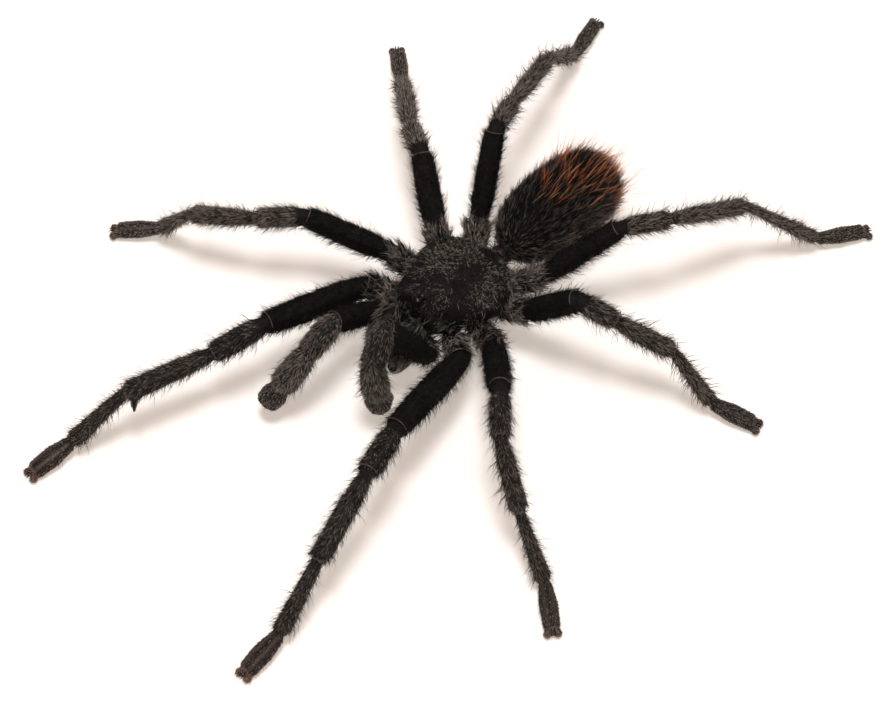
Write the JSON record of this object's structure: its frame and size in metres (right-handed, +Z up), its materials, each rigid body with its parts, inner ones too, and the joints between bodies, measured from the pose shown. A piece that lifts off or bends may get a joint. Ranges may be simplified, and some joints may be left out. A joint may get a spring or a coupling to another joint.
{
  "type": "tarantula specimen",
  "caption": "Dried adult male tarantula standing on its feet: furry black body, bent legs, raised pedipalps and russet hairs on the rear of the abdomen.",
  "frame": {"origin": "centre of the bounding box, on the floor that the feet stand on", "axes": "+Z up, the head towards -Y, the specimen's left side towards +X"},
  "size_m": [0.095, 0.1192, 0.0211],
  "materials": {
    "carapace_fur": "short close fur, black with a grey-green sheen",
    "underside_fur": "dense velvety black fur",
    "abdomen_fur": "black fur with long russet hairs on the rear",
    "bare_skin": "dried reddish-brown skin",
    "fang": "glossy black chitin",
    "limb_fur": "black to brown-black fur with longer bristles"
  },
  "bodies": {
    "root": {"carapace": "carapace_fur", "sternum": "underside_fur", "abdomen": "abdomen_fur", "pedicel": "bare_skin", "chelicera_left": "carapace_fur", "chelicera_right": "carapace_fur", "fang_left": "fang", "fang_right": "fang", "spinneret_left": "underside_fur", "spinneret_right": "underside_fur", "pedipalp_left": "limb_fur", "pedipalp_right": "limb_fur", "leg_1_left": "limb_fur", "leg_1_right": "limb_fur", "leg_2_left": "limb_fur", "leg_2_right": "limb_fur", "leg_3_left": "limb_fur", "leg_3_right": "limb_fur", "leg_4_left": "limb_fur", "leg_4_right": "limb_fur"}
  },
  "joints": []
}
